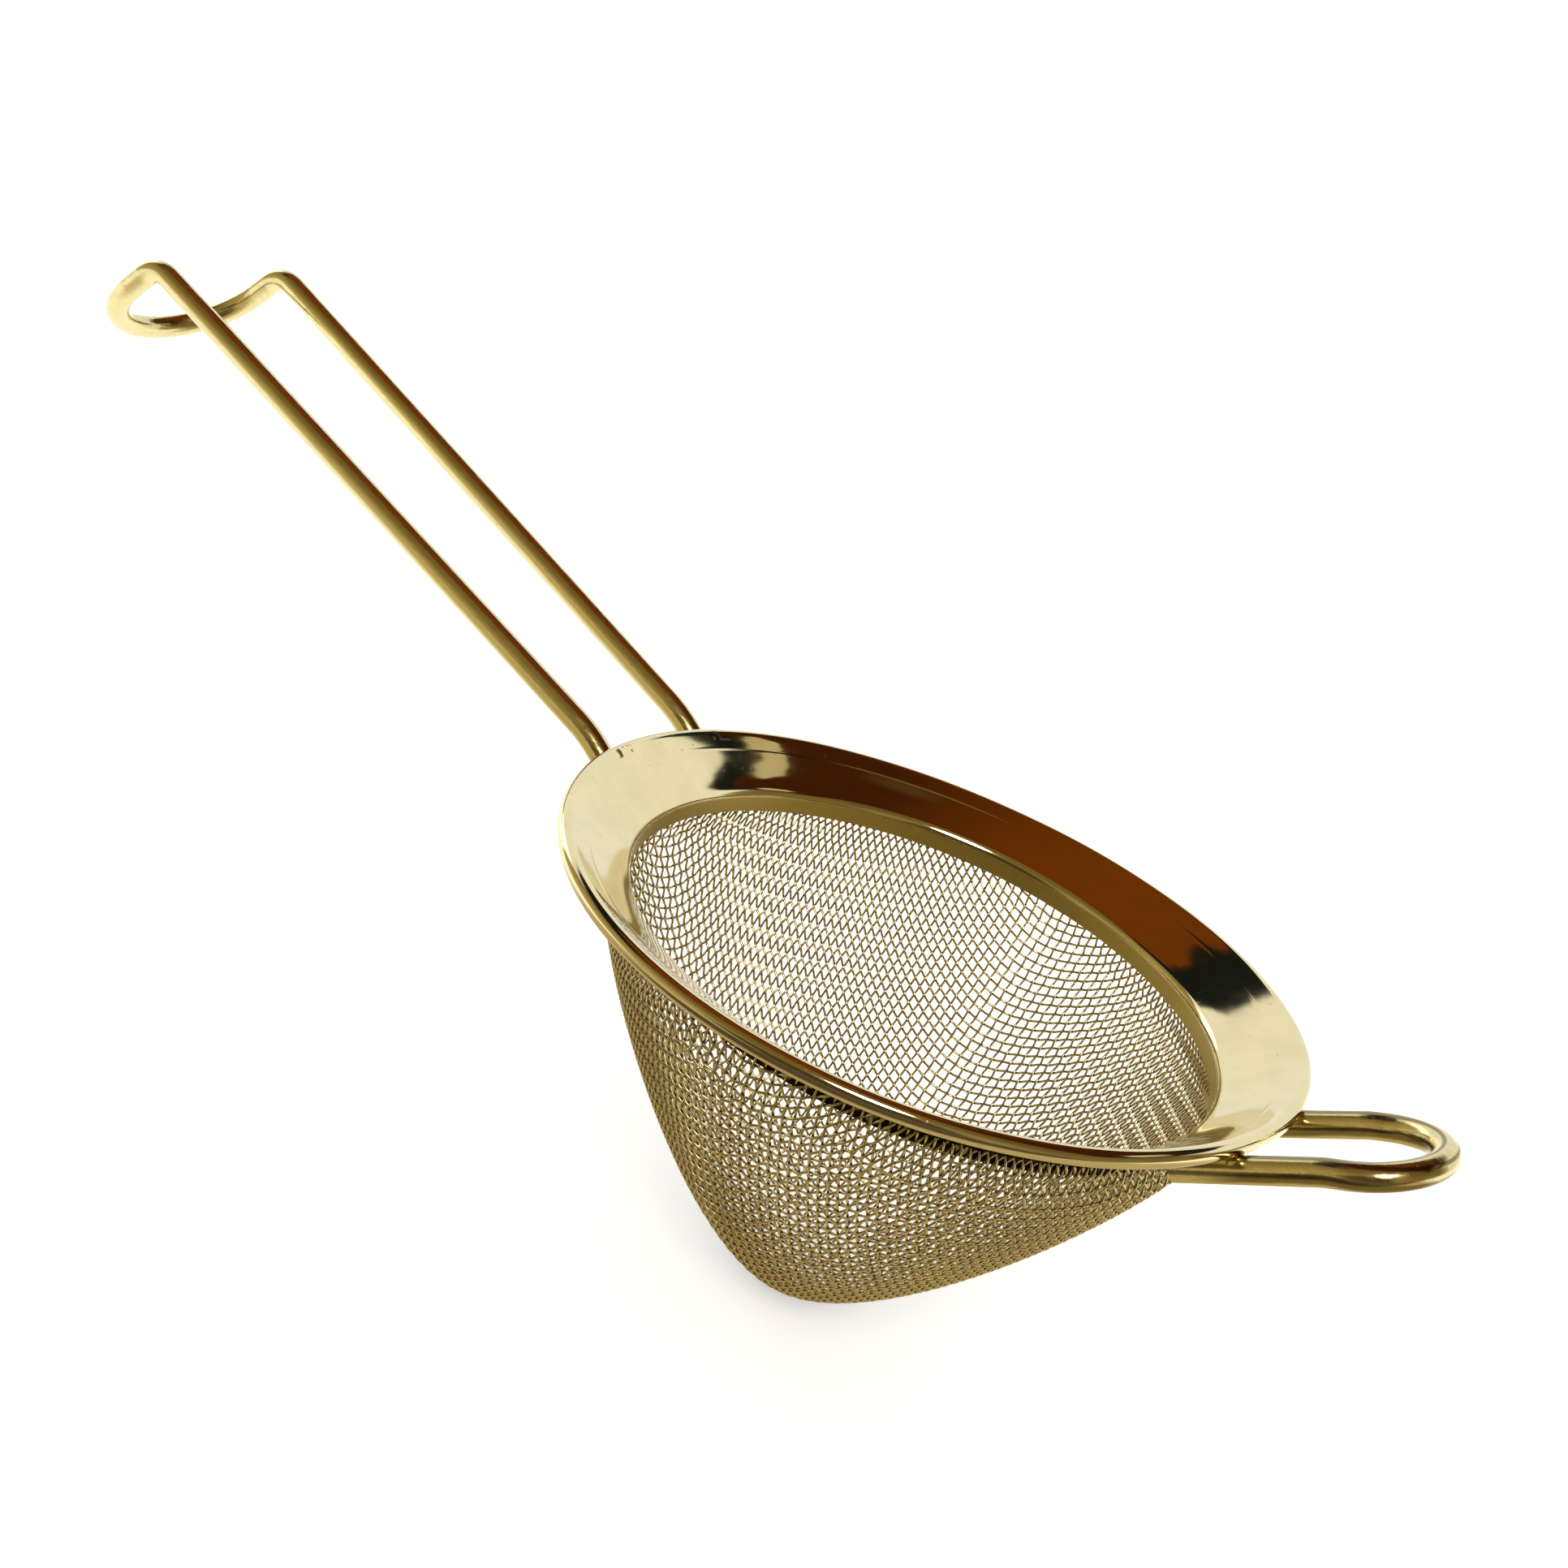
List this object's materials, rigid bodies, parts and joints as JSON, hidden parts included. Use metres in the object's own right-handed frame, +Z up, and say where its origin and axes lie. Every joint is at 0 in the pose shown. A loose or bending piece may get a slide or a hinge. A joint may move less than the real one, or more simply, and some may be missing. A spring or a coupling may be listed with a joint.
{
  "type": "cocktail strainer",
  "caption": "Conical woven-wire strainer bowl in a pressed sheet rim with a rolled edge, a bent wire handle with a hanging hook and a wire rest loop opposite.",
  "frame": {"origin": "centre of the rim's rolled edge, on the bowl's axis", "axes": "+Z up along the bowl's axis, out of its mouth; -X towards the handle; +X towards the rest loop"},
  "size_m": [0.2035, 0.087, 0.0771],
  "materials": {
    "rim_gold": "polished gold-coloured plating on pressed stainless sheet",
    "wire_gold": "drawn wire with satin gold-coloured plating",
    "mesh_gold": "woven stainless wire with thin gold-coloured plating",
    "weld_gold": "plated weld metal, slightly rough"
  },
  "bodies": {
    "root": {"rim_flange": "rim_gold", "mesh_bowl": "mesh_gold", "mesh_spot_welds": "weld_gold", "handle_wire": "wire_gold", "handle_welds": "weld_gold", "rest_loop_wire": "wire_gold", "rest_loop_welds": "weld_gold"}
  },
  "joints": []
}
